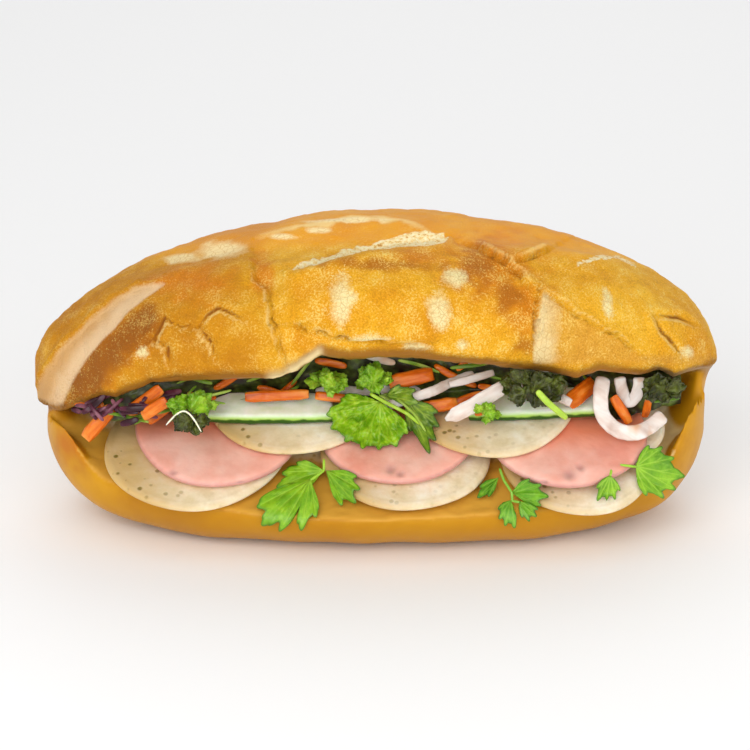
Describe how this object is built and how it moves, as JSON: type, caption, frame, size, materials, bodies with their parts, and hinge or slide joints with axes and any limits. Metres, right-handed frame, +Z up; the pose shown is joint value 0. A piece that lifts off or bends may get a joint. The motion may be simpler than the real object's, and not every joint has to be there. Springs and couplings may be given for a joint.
{
  "type": "banh mi sandwich",
  "caption": "Filled crusty roll lying flat, slit along its front, with pale pork roll, pink ham, cucumber, carrot, daikon and fresh herbs showing in the open mouth.",
  "frame": {"origin": "under the middle of the whole sandwich, on the surface that it rests on", "axes": "+X along the roll, +Y from the open mouth to the hinge at the back, +Z up"},
  "size_m": [0.2172, 0.0928, 0.0958],
  "materials": {
    "crust": "baked crust, satin, floury in places",
    "pork_roll": "moist, fine pores",
    "ham": "moist, satin",
    "cucumber": "wet, glossy",
    "salad": "moist shreds",
    "carrot": "wet, glossy",
    "daikon": "wet, glossy, slightly see-through",
    "fresh_herb": "leaf, satin",
    "dark_herb": "leaf, satin"
  },
  "bodies": {
    "root": {"bread_roll": "crust", "pork_roll_front_left": "pork_roll", "pork_roll_front_middle": "pork_roll", "pork_roll_front_right": "pork_roll", "pork_roll_end_right": "pork_roll", "pork_roll_upper_left": "pork_roll", "pork_roll_upper_right": "pork_roll", "ham_left": "ham", "ham_middle": "ham", "ham_right": "ham", "cucumber_left": "cucumber", "cucumber_right": "cucumber", "salad_heap": "salad", "carrot_mid_back": "carrot", "carrot_left_back": "carrot", "carrot_left_small": "carrot", "carrot_left_slant": "carrot", "carrot_left_low": "carrot", "carrot_right_slant": "carrot", "carrot_middle_low": "carrot", "carrot_right_small": "carrot", "carrot_rim_left": "carrot", "carrot_in_loop": "carrot", "carrot_far_right": "carrot", "daikon_strand": "daikon", "daikon_top_strip": "daikon", "daikon_bit": "daikon", "daikon_blade": "daikon", "daikon_curl": "daikon", "daikon_loop": "daikon", "herb_tuft_left": "fresh_herb", "herb_tuft_right": "fresh_herb", "lettuce_left": "fresh_herb", "green_stalk": "fresh_herb", "herb_bit_middle": "fresh_herb", "coriander_middle": "fresh_herb", "sprig_left": "fresh_herb", "sprig_middle": "fresh_herb", "sprig_small": "fresh_herb", "sprig_right": "fresh_herb", "dark_leaf_left": "dark_herb", "dark_leaf_middle": "dark_herb", "dark_leaf_right": "dark_herb", "coriander_middle_dark": "dark_herb"}
  },
  "joints": []
}
